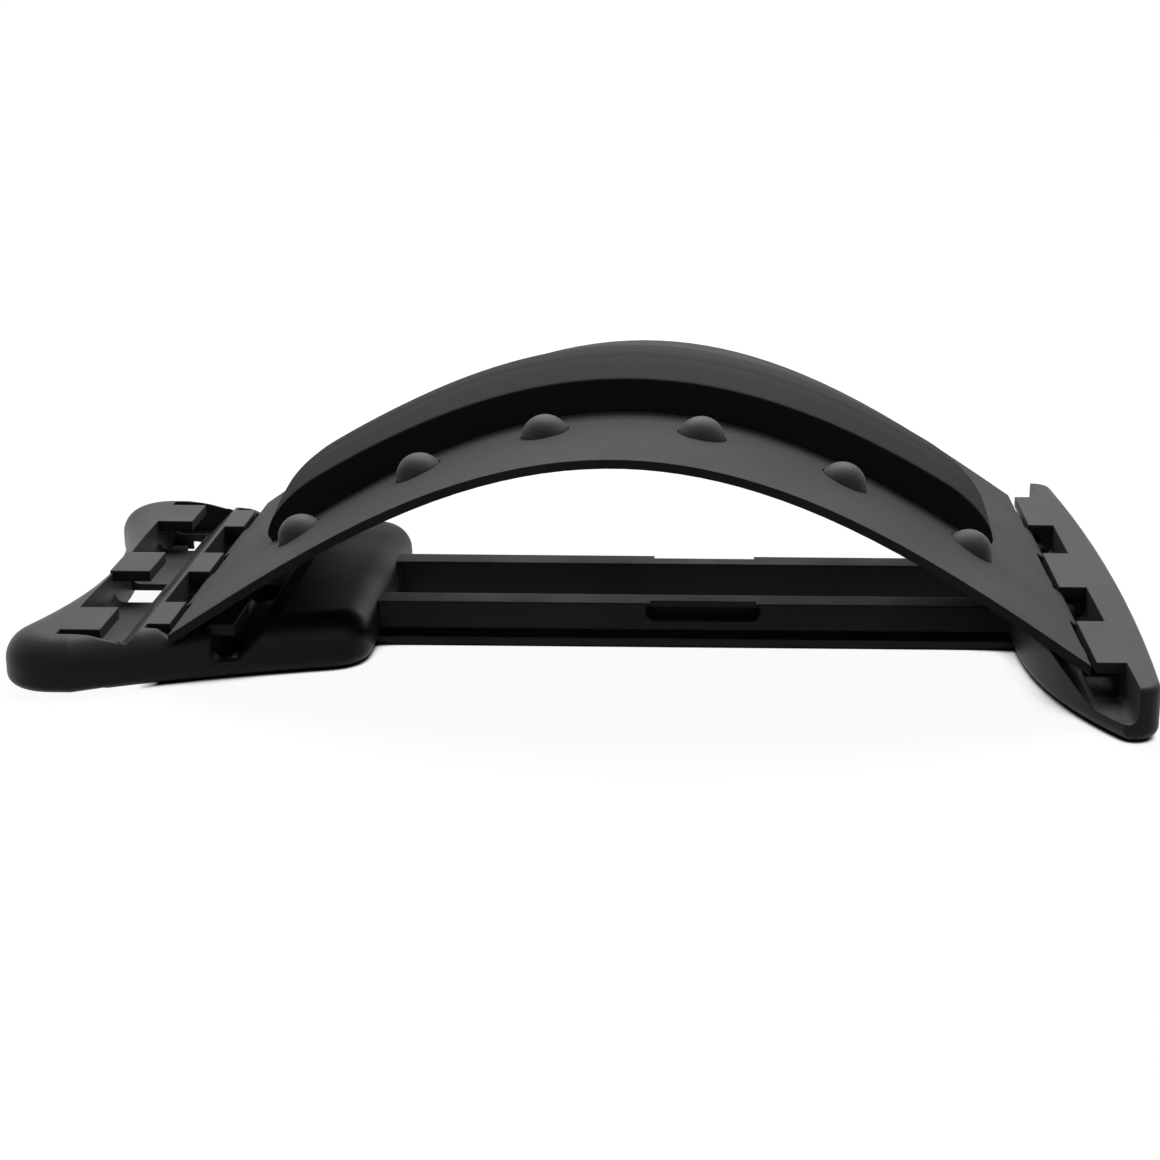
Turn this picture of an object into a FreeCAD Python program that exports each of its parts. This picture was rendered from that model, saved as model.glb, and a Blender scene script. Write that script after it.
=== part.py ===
"""Arched back stretcher: a sprung arch plate on a moulded base with three levels of hooks.

The base lies along X with its narrow, three-level wing at -X and its wide wing at +X.
Z is up from the floor, and everything is mirror-symmetric about the XZ plane. Millimetres.
"""
import FreeCAD, Part
import Sketcher
import math
import os
import re

os.makedirs("parts", exist_ok=True)
doc = FreeCAD.newDocument("BackStretcher")

SIZES = {
    # heights of the moulded base
    "pad_proud": 0.6, "wing_height": 18.4, "skin": 2.5, "groove_depth": 12.4, "hook_thickness": 4.0,
    # narrow wing, plan
    "narrow_waist": 180.7, "narrow_depth": 106.7, "narrow_edge_radius": 208.0, "narrow_half_width": 95.0,
    "shoulder_inset": 12.0, "flank_bow": 2.8, "toe_half_width": 64.5, "horn_radius": 18.0,
    "toe_radius": 15.0, "narrow_top_round": 10.0, "foot_round": 4.0,
    # wide wing, plan
    "wide_reach": 194.0, "wide_bow": 5.3, "wide_depth": 41.0, "wide_half_width": 129.5,
    "wide_tip_width": 11.2, "wide_inner_straight": 46.0, "wide_tip_radius": 8.0, "wide_heel_radius": 3.0,
    "wide_top_round": 2.5,
    # grooves and hooks of the narrow wing
    "narrow_rim": 5.7, "level_pitch": 22.0, "outer_hook_reach": 13.5, "inner_hook_reach": 7.6,
    "ridge_land": 1.0, "narrow_hook_width": 24.4, "narrow_hook_margin": 21.8, "outer_hook_shift": 6.8,
    "groove_round": 3.5, "outer_end_margin": 10.0, "middle_end_margin": 18.0, "inner_end_margin": 8.0,
    "dip_run": 4.0, "outer_dip_place": 7.5, "outer_dip": 3.0, "middle_dip_place": 3.5, "middle_dip": 5.0,
    "window_web": 1.0,
    # groove and hooks of the wide wing
    "wide_rim": 12.7, "wide_hook_reach": 9.8, "wide_hook_width": 43.4, "wide_hook_margin": 25.0,
    "wide_floor_width": 11.8,
    # rails between the wings
    "rail_gap_half": 19.5, "rail_drop": 5.0, "rail_shoulder": 30.0, "rail_foot": 33.0,
    "rail_crease": 4.5, "lip_reach": 38.0, "lip_thickness": 2.8, "rail_bite": 4.0,
    "strap_slot_offset": 2.7, "strap_slot_length": 41.3, "strap_slot_height": 6.3, "strap_slot_drop": 2.7,
    # anti-slip feet
    "pad_diameter": 14.0, "pad_thickness": 2.4, "horn_pad_inset": 4.7, "horn_pad_margin": 19.0,
    "toe_pad_margin": 16.0,
    # arch plate
    "arch_rise": 67.2, "arch_sink": 1.4, "arch_end_gap": 0.45, "plate_thickness": 3.0,
    "plate_narrow_margin": 11.0, "plate_wide_margin": 21.5, "plate_bow": 4.5,
    "curl_radius": 6.0, "curl_angle": 80.0, "notch_gap": 2.3, "notch_side_gap": 1.0, "seat_gap": 0.3,
    # nubs
    "nub_diameter": 16.1, "nub_height": 6.3, "nub_ring_gap": 0.5, "nub_flange": 21.0,
    "nub_flange_thickness": 1.6, "nub_flange_gap": 0.45,
    # foam strip
    "strip_half": 30.6, "strip_side": 11.8, "strip_crown": 14.6, "strip_crown_half": 10.2,
    "strip_end_margin": 26.5, "nose_length": 24.0, "glue_gap": 0.1,
    "tab_thickness": 3.5, "tab_half": 27.5, "tab_play": 1.0, "tab_drop": 3.5, "tab_barb": 1.5,
    "tab_setback": 0.8,
    # every cut runs this far past the face that it opens
    "overrun": 2.0,
}
# places of the nubs along half the chord, and across half the plate's width
NUB_PLACE_SHARES = (-0.744, -0.467, -0.183, 0.165, 0.481, 0.773)
NUB_ROW_SHARES = (0.51, 0.53, 0.53, 0.54, 0.51, 0.445)

sheet = doc.addObject("Spreadsheet::Sheet", "Sizes")
for row, (name, size) in enumerate(SIZES.items(), 1):
    sheet.set(f"A{row}", name)
    sheet.set(f"B{row}", str(size))
    sheet.setAlias(f"B{row}", name)
doc.recompute()


def bound(formula):
    """The formula with each size's name pointed at its cell of the sheet."""
    return re.sub(r"[a-z]\w*", lambda word: "Sizes." * (word.group() in SIZES) + word.group(), formula)


def value(formula):
    """The formula's number."""
    return float(sheet.evalExpression(bound(formula)))


def bind(thing, target, formula):
    """Tie a property to a formula of sizes."""
    thing.setExpression(target, bound(formula))


def new_body(name):
    return doc.addObject("PartDesign::Body", name)


def sketch_on(body, name, role, level=None):
    """A sketch on one of the body's own planes, raised to a level along the plane's normal."""
    sketch = body.newObject("Sketcher::SketchObject", name)
    plane = next(item for item in body.Origin.OriginFeatures if item.Role == role)
    sketch.AttachmentSupport = [(plane, "")]
    sketch.MapMode = "FlatFace"
    if level:
        bind(sketch, "AttachmentOffset.Base.z", level)
    return sketch


def pin(sketch, edge, end, x, y):
    """Hold one point of a sketch at two formulas."""
    for kind, formula in (("DistanceX", x), ("DistanceY", y)):
        place = sketch.addConstraint(Sketcher.Constraint(kind, -1, 1, edge, end, value(formula)))
        bind(sketch, f"Constraints[{place}]", formula)


def outline(sketch, corners):
    """A closed outline: each corner is x, y and, where an arc leads to the next, a point on that arc."""
    places = [FreeCAD.Vector(value(x), value(y), 0) for x, y, *via in corners]
    ends = []
    for here, there, (x, y, *via) in zip(places, places[1:] + places[:1], corners):
        if not via:
            ends.append((sketch.addGeometry(Part.LineSegment(here, there), False), 1, 2))
            continue
        middle = FreeCAD.Vector(value(via[0][0]), value(via[0][1]), 0)
        circle = Part.Arc(here, middle, there).toShape().Curve
        centre = FreeCAD.Vector(circle.Center.x, circle.Center.y, 0)
        turns_left = (middle - here).cross(there - middle).z > 0
        begin, finish = (here, there) if turns_left else (there, here)
        angles = [math.atan2(*reversed((point - centre)[:2])) for point in (begin, finish)]
        ring = Part.Circle(centre, FreeCAD.Vector(0, 0, 1), circle.Radius)
        arc = sketch.addGeometry(Part.ArcOfCircle(ring, *angles), False)
        point = sketch.addGeometry(Part.Point(middle), True)
        pin(sketch, point, 1, *via[0])
        sketch.addConstraint(Sketcher.Constraint("PointOnObject", point, 1, arc))
        ends.append((arc, 1, 2) if turns_left else (arc, 2, 1))
    for (edge, first, last), (following, start, _) in zip(ends, ends[1:] + ends[:1]):
        sketch.addConstraint(Sketcher.Constraint("Coincident", edge, last, following, start))
    for (edge, first, last), (x, y, *via) in zip(ends, corners):
        pin(sketch, edge, first, x, y)


def box_outline(sketch, left, right, low, high):
    outline(sketch, [(left, low), (right, low), (right, high), (left, high)])


def circle_at(sketch, x, y, diameter):
    """A circle of a named diameter."""
    ring = Part.Circle(FreeCAD.Vector(value(x), value(y), 0), FreeCAD.Vector(0, 0, 1), value(diameter) / 2)
    edge = sketch.addGeometry(ring, False)
    pin(sketch, edge, 3, x, y)
    place = sketch.addConstraint(Sketcher.Constraint("Diameter", edge, value(diameter)))
    bind(sketch, f"Constraints[{place}]", diameter)


def extrude(body, kind, sketch, length=None, symmetric=False, reverse=False):
    """A pad or pocket of the sketch; a pocket must take material away."""
    before = body.Shape.Volume if kind == "Pocket" else 0
    feature = body.newObject("PartDesign::" + kind, sketch.Name + "_" + kind.lower())
    feature.Profile = sketch
    bind(feature, "Length", length)
    feature.SideType = "Symmetric" if symmetric else "One side"
    feature.Reversed = reverse
    sketch.Visibility = False
    doc.recompute()
    if kind == "Pocket" and not feature.Shape.Volume < before:
        raise ValueError(f"{feature.Name} cuts nothing")
    return feature


def round_edges(body, name, radius, test):
    """A fillet on every edge of the body that passes the test."""
    base = body.Tip
    chosen = [f"Edge{number}" for number, edge in enumerate(base.Shape.Edges, 1) if test(edge)]
    feature = body.newObject("PartDesign::Fillet", name)
    feature.Base = (base, chosen)
    bind(feature, "Radius", radius)
    doc.recompute()
    return feature


def spread(body, feature, sketch, length, count):
    """Copies of a feature in a row along Y."""
    pattern = body.newObject("PartDesign::LinearPattern", feature.Name + "_row")
    pattern.Originals = [feature]
    pattern.Direction = (sketch, ["V_Axis"])
    bind(pattern, "Length", length)
    pattern.Occurrences = count
    body.Tip = pattern
    doc.recompute()
    return pattern


def is_upright(edge):
    box = edge.BoundBox
    return max(box.XLength, box.YLength) < 1e-6 * box.ZLength


def lies_at(level):
    height = value(level)
    return lambda edge: abs(edge.BoundBox.ZMin - height) + abs(edge.BoundBox.ZMax - height) < 1e-6


TOP = "(pad_proud + wing_height)"
FLOOR = f"({TOP} - groove_depth)"
WALL = "skin"
BELOW = "(pad_proud - overrun)"
CEILING = f"({TOP} - 1.6 * {WALL})"
OVER = f"({CEILING} + overrun)"
UNDER = f"({FLOOR} - {WALL})"
ROOT_2 = "sqrt(2)"

# The levels of the narrow wing count from the outermost; the arch is hooked into the middle one.
LEVELS = range(3)
LEVEL_IN_USE = 1
TOE = "(narrow_waist - narrow_depth)"
NARROW_PITCH = "(narrow_half_width - narrow_hook_margin - narrow_hook_width / 2)"
END_MARGINS = ("outer_end_margin", "middle_end_margin", "inner_end_margin")


def hook_pitch(level):
    """The outermost level's hooks stand further apart, as its groove is longer."""
    return NARROW_PITCH if level else f"({NARROW_PITCH} + outer_hook_shift)"


def tip_line(level):
    """Where the hook tips of one level stand."""
    return f"(-(narrow_waist - narrow_rim - outer_hook_reach) + {level} * level_pitch)"


def groove_wall(level):
    """The upright wall under the hooks of one level."""
    return f"({tip_line(level)} - {'inner_hook_reach' if level else 'outer_hook_reach'})"


def ramp_top(level):
    """Where the ramp that faces a level's wall reaches the next ridge; it climbs at 45 degrees."""
    return f"({tip_line(level + 1)} - inner_hook_reach - ridge_land)"


def ramp_foot(level):
    return f"({ramp_top(level)} - groove_depth)"


WIDE_INNER = "(wide_reach - wide_depth)"
WIDE_WALL = "(wide_reach - wide_rim)"
WIDE_TIPS = f"({WIDE_WALL} - wide_hook_reach)"
WIDE_RAMP_FOOT = f"({WIDE_WALL} - wide_floor_width)"
WIDE_PITCH = "(wide_half_width - wide_hook_margin - wide_hook_width / 2)"

# The arch stands between the hook tips of the level in use and those of the wide wing.
ARCH_CENTRE = f"(({WIDE_TIPS} + {tip_line(LEVEL_IN_USE)}) / 2)"
ARCH_HALF = f"(({WIDE_TIPS} - {tip_line(LEVEL_IN_USE)}) / 2 - arch_end_gap)"
ARCH_FOOT = f"({TOP} - arch_sink)"
PLATE_NARROW = "(narrow_half_width - plate_narrow_margin)"
PLATE_WIDE = "(wide_half_width - plate_wide_margin)"
PLATE_MID = f"(({PLATE_NARROW} + {PLATE_WIDE}) / 2 + plate_bow)"


def groove_section(wall, foot, top, side):
    """Section of one groove: upright wall, rounded bottom and 45-degree ramp; side is +1 or -1 in X."""
    bend = f"groove_round * (1 - 1 / {ROOT_2})"
    return [
        (wall, f"{TOP} + overrun"),
        (wall, f"{FLOOR} + groove_round", (f"{wall} + {side} * {bend}", f"{FLOOR} + {bend}")),
        (f"{wall} + {side} * groove_round", FLOOR),
        (foot, FLOOR),
        (top, TOP),
        (top, f"{TOP} + overrun"),
    ]


def narrow_plan(inset):
    """Plan of the narrow wing, drawn in by an inset."""
    half = f"(narrow_half_width - {inset})"
    waist = f"(narrow_waist - {inset})"
    corner = f"-({waist} + narrow_edge_radius - sqrt(narrow_edge_radius * narrow_edge_radius - {half} * {half}))"
    shoulder = "(narrow_waist - shoulder_inset)"
    toe_half = f"(toe_half_width - {inset})"
    flank = f"-({shoulder} + {TOE}) / 2"
    bow = f"(({half} + {toe_half}) / 2 - flank_bow)"
    return [
        (corner, half, ("-" + waist, "0")),
        (corner, "-" + half),
        ("-" + shoulder, "-" + half, (flank, "-" + bow)),
        (f"-({TOE} + {inset})", "-" + toe_half),
        (f"-({TOE} + {inset})", toe_half, (flank, bow)),
        ("-" + shoulder, half),
    ]


def wide_plan(inset):
    """Plan of the wide wing, drawn in by an inset; its inner side flares in an arc tangent to the straight."""
    half = f"(wide_half_width - {inset})"
    tip_outer = f"(wide_reach - wide_bow - {inset})"
    tip_inner = f"(wide_reach - wide_bow - wide_tip_width + {inset})"
    heel = f"({WIDE_INNER} + {inset})"
    run, rise = f"({half} - wide_inner_straight)", f"({tip_inner} - {heel})"
    radius = f"(({run} * {run} + {rise} * {rise}) / (2 * {rise}))"
    flare = (f"{heel} + {radius} - sqrt({radius} * {radius} - {run} * {run} / 4)",
             f"wide_inner_straight + {run} / 2")
    return [
        (tip_outer, "-" + half, (f"wide_reach - {inset}", "0")),
        (tip_outer, half),
        (tip_inner, half, flare),
        (heel, "wide_inner_straight"),
        (heel, "-wide_inner_straight", (flare[0], f"-({flare[1]})")),
        (tip_inner, "-" + half),
    ]


def add_hooks(body, name, wall, tip, width, pitch):
    """A row of three hooks over a groove, and the window under each that frees it from the mould."""
    low = f"{TOP} - hook_thickness"
    root = f"{wall} - ridge_land * {'1' if value(tip) > value(wall) else '-1'}"
    left, right = sorted((root, tip), key=value)
    sketch = sketch_on(body, name + "_hook", "XY_Plane", low)
    box_outline(sketch, left, right, f"-{pitch} - {width} / 2", f"-{pitch} + {width} / 2")
    hook = extrude(body, "Pad", sketch, "hook_thickness")
    spread(body, hook, sketch, f"2 * {pitch}", 3)
    left, right = sorted((wall, tip), key=value)
    sketch = sketch_on(body, name + "_window", "XY_Plane", BELOW)
    half = f"({width} / 2 - window_web)"
    box_outline(sketch, left, right, f"-{pitch} - {half}", f"-{pitch} + {half}")
    window = extrude(body, "Pocket", sketch, f"{low} - {BELOW}", reverse=True)
    spread(body, window, sketch, f"2 * {pitch}", 3)


def make_wing(name, plan, corners, top_round):
    """The outer form of a wing: its plan raised to full height, with rounded corners, top and foot."""
    body = new_body(name)
    sketch = sketch_on(body, name + "_plan", "XY_Plane", "pad_proud")
    outline(sketch, plan("0"))
    extrude(body, "Pad", sketch, "wing_height")
    for number, (radius, test) in enumerate(corners):
        round_edges(body, f"{name}_corner_{number}", radius, lambda edge: is_upright(edge) and test(edge))
    round_edges(body, name + "_top", top_round, lies_at(TOP))
    round_edges(body, name + "_foot", "foot_round", lies_at("pad_proud"))
    return body


def cut_groove(body, name, section, half_length):
    sketch = sketch_on(body, name, "XZ_Plane")
    outline(sketch, section)
    return extrude(body, "Pocket", sketch, f"2 * {half_length}", symmetric=True)


def cut_pad_seats(body, name, places):
    sketch = sketch_on(body, name, "XY_Plane", "pad_proud")
    for x, y in places:
        circle_at(sketch, x, y, "(pad_diameter + 2 * seat_gap)")
    return extrude(body, "Pocket", sketch, "pad_thickness - pad_proud", reverse=True)


def make_core(name, plan, inset, corners, groove_skin, places):
    """The hollow under a wing: its plan drawn in, less the skin of its grooves and the bosses of its feet."""
    body = new_body(name)
    sketch = sketch_on(body, name + "_plan", "XY_Plane", BELOW)
    outline(sketch, plan(inset))
    extrude(body, "Pad", sketch, f"{CEILING} - {BELOW}")
    for number, (radius, test) in enumerate(corners):
        round_edges(body, f"{name}_corner_{number}", f"{radius} - {inset}",
                    lambda edge: is_upright(edge) and test(edge))
    cut_groove(body, name + "_groove_skin", groove_skin, "wide_half_width")
    bosses = sketch_on(body, name + "_bosses", "XY_Plane", BELOW)
    for x, y in places:
        circle_at(bosses, x, y, "(pad_diameter + 2 * skin)")
    extrude(body, "Pocket", bosses, "2 * wing_height", reverse=True)
    return body


def mirrored_places(*places):
    return [(x, sign + y) for x, y in places for sign in ("", "-")]


NARROW_PADS = mirrored_places(
    ("-(narrow_waist - horn_pad_inset)", "(narrow_half_width - horn_pad_margin)"),
    (f"-({TOE} + toe_pad_margin)", "(toe_half_width - toe_pad_margin)"))
WIDE_PADS = mirrored_places((f"{WIDE_WALL} - wide_floor_width / 2", f"{WIDE_PITCH} / 2"))

# narrow wing
HORNS = ("horn_radius", lambda edge: edge.BoundBox.XMin < -value("narrow_waist + narrow_top_round / 2"))
TOES = ("toe_radius", lambda edge: abs(edge.BoundBox.YMax) > value("toe_half_width / 2")
        and edge.BoundBox.XMin > -value(f"{TOE} + toe_radius"))
narrow = make_wing("narrow_wing", narrow_plan, [HORNS, TOES], "narrow_top_round")
for level in LEVELS:
    groove = groove_section(groove_wall(level), ramp_foot(level), ramp_top(level), 1)
    cut_groove(narrow, f"groove_{level}", groove, f"(narrow_half_width - {END_MARGINS[level]})")
for level, dip in enumerate(("outer_dip", "middle_dip")):
    cut_groove(narrow, dip, [
        (f"{tip_line(level)} - dip_run", f"{TOP} + overrun"), (f"{tip_line(level)} - dip_run", TOP),
        (f"{tip_line(level)} + {dip}_place", f"{TOP} - {dip}"), (ramp_top(level), TOP),
        (ramp_top(level), f"{TOP} + overrun")], "(narrow_half_width + overrun)")
for level in LEVELS:
    add_hooks(narrow, f"level_{level}", groove_wall(level), tip_line(level), "narrow_hook_width", hook_pitch(level))
cut_pad_seats(narrow, "narrow_pad_seats", NARROW_PADS)

groove_skin = [(f"{groove_wall(0)} - {WALL}", OVER)]
for level in LEVELS:
    rise = f"{FLOOR} - {WALL} * {ROOT_2} - {ramp_foot(level)}"
    groove_skin.append((f"{groove_wall(level)} - {WALL}", UNDER))
    groove_skin.append((f"{ramp_foot(level)} + {WALL} * ({ROOT_2} - 1)", UNDER))
    if level < LEVELS[-1]:
        ridge = f"{groove_wall(level + 1)} - {WALL}"
        groove_skin.append((ridge, f"{ridge} + {rise}"))
groove_skin.append((f"{OVER} - ({rise})", OVER))
narrow_core = make_core("narrow_core", narrow_plan, "2 * skin", [HORNS, TOES], groove_skin, NARROW_PADS)

# wide wing
TIP_MIDDLE = "wide_reach - wide_bow - wide_tip_width / 2"
wide = make_wing("wide_wing", wide_plan, [
    ("wide_tip_radius", lambda edge: edge.BoundBox.XMin > value(TIP_MIDDLE)),
    ("wide_heel_radius", lambda edge: abs(edge.BoundBox.YMax) > value("wide_half_width - wide_tip_width")
        and edge.BoundBox.XMin < value(TIP_MIDDLE))], "wide_top_round")
cut_groove(wide, "wide_groove", groove_section(WIDE_WALL, WIDE_RAMP_FOOT, f"{WIDE_RAMP_FOOT} - groove_depth", -1),
           "(wide_half_width + overrun)")
add_hooks(wide, "wide", WIDE_WALL, WIDE_TIPS, "wide_hook_width", WIDE_PITCH)
cut_pad_seats(wide, "wide_pad_seats", WIDE_PADS)
wide_under_foot = f"{WIDE_RAMP_FOOT} - {WALL} * ({ROOT_2} - 1)"
wide_core = make_core("wide_core", wide_plan, "1.6 * skin", [], [
    (f"{wide_under_foot} - {OVER} + {UNDER}", OVER), (wide_under_foot, UNDER),
    (f"{WIDE_WALL} + {WALL}", UNDER), (f"{WIDE_WALL} + {WALL}", OVER)], WIDE_PADS)

# rails: an inverted U with a foot lip on its outer side, twice
RAIL_TOP = f"({TOP} - rail_drop)"
SLOT_CENTRE = f"(({WIDE_INNER} - {TOE}) / 2 + strap_slot_offset)"
SLOT_LEVEL = f"({RAIL_TOP} - strap_slot_drop)"
rails = new_body("rails")
for side in ("", "-"):
    sketch = sketch_on(rails, "rail_section" + ("_far" if not side else "_near"), "YZ_Plane",
                       f"-({TOE} + rail_bite)")
    outline(sketch, [(f"{side}({y})", z) for y, z in (
        ("rail_gap_half", "pad_proud"), ("rail_gap_half", RAIL_TOP), ("rail_shoulder", RAIL_TOP),
        ("rail_foot", "pad_proud + rail_crease"), ("lip_reach", "pad_proud + lip_thickness"),
        ("lip_reach", "pad_proud"), ("rail_foot - skin / 2", "pad_proud"),
        ("rail_shoulder - skin", f"{RAIL_TOP} - skin"), ("rail_gap_half + skin", f"{RAIL_TOP} - skin"),
        ("rail_gap_half + skin", "pad_proud"))])
    extrude(rails, "Pad", sketch, f"{TOE} + {WIDE_INNER} + 2 * rail_bite")
for side in ("near", "far"):
    sketch = sketch_on(rails, "strap_slot_" + side, "XZ_Plane",
                       "lip_reach" if side == "near" else "-lip_reach")
    left, right = (f"{SLOT_CENTRE} {sign} (strap_slot_length - strap_slot_height) / 2" for sign in "-+")
    low, high = (f"{SLOT_LEVEL} {sign} strap_slot_height / 2" for sign in "-+")
    outline(sketch, [(left, low), (right, low, (f"{right} + strap_slot_height / 2", SLOT_LEVEL)),
                     (right, high), (left, high, (f"{left} - strap_slot_height / 2", SLOT_LEVEL))])
    extrude(rails, "Pocket", sketch, "lip_reach - rail_shoulder + 1.2 * skin", reverse=(side == "far"))

# the base is one moulding
forms = []
for wing, core in ((narrow, narrow_core), (wide, wide_core)):
    hollow = doc.addObject("Part::Cut", wing.Name + "_hollow")
    hollow.Base = wing
    hollow.Tool = core
    forms.append(hollow)
base_frame = doc.addObject("Part::MultiFuse", "base_frame")
base_frame.Shapes = forms + [rails]
base_frame.Refine = True

# foot pads, seated in shallow recesses
foot_pads = []
for number, (x, y) in enumerate(NARROW_PADS + WIDE_PADS, 1):
    pad = doc.addObject("Part::Cylinder", f"foot_pad_{number}")
    bind(pad, "Radius", "pad_diameter / 2")
    bind(pad, "Height", "pad_thickness")
    bind(pad, "Placement.Base.x", x)
    bind(pad, "Placement.Base.y", y)
    foot_pads.append(pad)


# The arch is drawn about its own centre: a half wave of a cosine, with its ends curled down.
def arch_height(x):
    return value(ARCH_FOOT) + value("arch_rise") * math.cos(math.pi * x / value(f"2 * {ARCH_HALF}"))


def arch_slope(x):
    wave = math.pi / value(f"2 * {ARCH_HALF}")
    return math.atan(-value("arch_rise") * wave * math.sin(wave * x))


def above_arch(x, lift):
    """The point that stands a lift off the arch's top, square to it, over the place x."""
    slope = arch_slope(x)
    return FreeCAD.Vector(x - lift * math.sin(slope), arch_height(x) + lift * math.cos(slope), 0)


def arch_curve(lift, begin, end):
    """A curve at an even lift off the arch's top; a negative lift lies below it."""
    steps = 24
    curve = Part.BSplineCurve()
    curve.interpolate([above_arch(begin + (end - begin) * step / steps, lift) for step in range(steps + 1)])
    return curve


def curled_end(side):
    """The two lines and arcs of one curled end, from the arch's top round to its underside."""
    half, thick, bend = value(ARCH_HALF), value("plate_thickness"), value("curl_radius")
    first, last = -arch_slope(half), math.radians(value("curl_angle"))

    def on_bend(angle, radius):
        centre = above_arch(half, -bend)
        return FreeCAD.Vector(side * (centre.x + radius * math.sin(angle)), centre.y + radius * math.cos(angle))

    way = FreeCAD.Vector(side * math.cos(last), -math.sin(last))
    inner = on_bend(last, bend - thick)
    drop = (inner.y - value(f"{FLOOR} + seat_gap")) / math.sin(last)
    middle = (first + last) / 2
    outer_arc = Part.Arc(on_bend(first, bend), on_bend(middle, bend), on_bend(last, bend))
    inner_arc = Part.Arc(on_bend(last, bend - thick), on_bend(middle, bend - thick), on_bend(first, bend - thick))
    outer = on_bend(last, bend)
    return [outer_arc, Part.LineSegment(outer, outer + way * drop),
            Part.LineSegment(outer + way * drop, inner + way * drop),
            Part.LineSegment(inner + way * drop, inner), inner_arc]


def draw(sketch, curves):
    """Curves that already meet end to end."""
    for curve in curves:
        sketch.addGeometry(curve, False)


HALF = value(ARCH_HALF)
arch_plate = new_body("arch_plate")
profile = sketch_on(arch_plate, "arch_profile", "XZ_Plane")
draw(profile, [arch_curve(0, -HALF, HALF), *curled_end(1), arch_curve(-value("plate_thickness"), -HALF, HALF),
               *curled_end(-1)])
extrude(arch_plate, "Pad", profile, f"2 * {PLATE_NARROW} + 2 * {PLATE_WIDE}", symmetric=True)

PLATE_END = f"({ARCH_HALF} + curl_radius + overrun)"
plan = sketch_on(arch_plate, "arch_plan", "XY_Plane")
ROUND_PLATE = f"2 * ({PLATE_NARROW} + {PLATE_WIDE})"
box_outline(plan, f"-2 * {ARCH_HALF}", f"2 * {ARCH_HALF}", "-" + ROUND_PLATE, ROUND_PLATE)
outline(plan, [
    (f"-{PLATE_END}", "-" + PLATE_NARROW, ("0", "-" + PLATE_MID)), (PLATE_END, "-" + PLATE_WIDE),
    (PLATE_END, PLATE_WIDE, ("0", PLATE_MID)), (f"-{PLATE_END}", PLATE_NARROW)])
extrude(arch_plate, "Pocket", plan, "2 * arch_rise", reverse=True)

notches = sketch_on(arch_plate, "hook_notches", "XY_Plane")
for tip, width, pitch in ((f"({tip_line(LEVEL_IN_USE)} - {ARCH_CENTRE})", "narrow_hook_width", NARROW_PITCH),
                          (f"({WIDE_TIPS} - {ARCH_CENTRE})", "wide_hook_width", WIDE_PITCH)):
    far = value(tip) > 0
    edges = (f"{tip} - notch_gap", PLATE_END) if far else (f"-{PLATE_END}", f"{tip} + notch_gap")
    half = f"({width} / 2 + notch_side_gap)"
    box_outline(notches, *edges, "-" + half, half)
    for side in ("", "-"):
        box_outline(notches, *edges, *sorted((f"{side}({pitch} - {half})", f"{side}({ROUND_PLATE})"), key=value))
extrude(arch_plate, "Pocket", notches, "2 * arch_rise", reverse=True)

NOSE_END = f"({ARCH_HALF} - strip_end_margin)"
TAB_FRONT = f"({NOSE_END} - tab_setback)"
slots = sketch_on(arch_plate, "strip_slots", "XY_Plane")
for side in ("", "-"):
    edges = sorted((f"{side}({TAB_FRONT} - tab_thickness - tab_play)", f"{side}({TAB_FRONT} + tab_play)"),
                   key=value)
    box_outline(slots, *edges, "-(tab_half + tab_play)", "tab_half + tab_play")
extrude(arch_plate, "Pocket", slots, "2 * arch_rise", reverse=True)


def plate_half(x):
    """Half the plate's width at a place: straight taper plus the bow of its sides."""
    narrow_half, middle, wide_half = value(PLATE_NARROW), value(PLATE_MID), value(PLATE_WIDE)
    share = x / value(PLATE_END)
    return middle + share * (wide_half - narrow_half) / 2 + share ** 2 * ((narrow_half + wide_half) / 2 - middle)


def nub_seat(place, row):
    """Where a nub stands on the plate: its axis is square to the plate's top."""
    x = place * HALF
    turn = FreeCAD.Rotation(FreeCAD.Vector(0, 1, 0), -math.degrees(arch_slope(x)))
    return FreeCAD.Placement(FreeCAD.Vector(x, row * plate_half(x), arch_height(x)), turn)


SEATS = {f"nub_{side}_{number}": nub_seat(place, row_side * row)
         for side, row_side in (("near", -1), ("far", 1))
         for number, (place, row) in enumerate(zip(NUB_PLACE_SHARES, NUB_ROW_SHARES), 1)}
for name, seat in SEATS.items():
    hole = arch_plate.newObject("PartDesign::SubtractiveCylinder", name + "_hole")
    bind(hole, "Radius", "nub_diameter / 2 + nub_ring_gap")
    bind(hole, "Height", "3 * plate_thickness")
    hole.Placement = seat.multiply(FreeCAD.Placement(FreeCAD.Vector(0, 0, -2 * value("plate_thickness")),
                                                     FreeCAD.Rotation()))
doc.recompute()

# nubs: a dome on a stem, held from below by a flange
nubs = []
for name, seat in SEATS.items():
    nub = new_body(name)
    half_section = sketch_on(nub, name + "_section", "XZ_Plane")
    flange = "-(plate_thickness + nub_flange_gap)"
    dome = "((nub_diameter * nub_diameter / 4 + nub_height * nub_height) / (2 * nub_height))"
    outline(half_section, [
        ("0", f"{flange} - nub_flange_thickness"), ("nub_flange / 2", f"{flange} - nub_flange_thickness"),
        ("nub_flange / 2", flange), ("nub_diameter / 2", flange),
        ("nub_diameter / 2", "0", (f"{dome} * sqrt(1 - (1 - nub_height / 2 / {dome}) * (1 - nub_height / 2 /"
                                   f" {dome}))", "nub_height / 2")),
        ("0", "nub_height")])
    turned = nub.newObject("PartDesign::Revolution", name + "_turned")
    turned.Profile = half_section
    turned.ReferenceAxis = (half_section, ["V_Axis"])
    turned.Angle = 360
    nub.Placement = seat
    nubs.append(nub)

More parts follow.
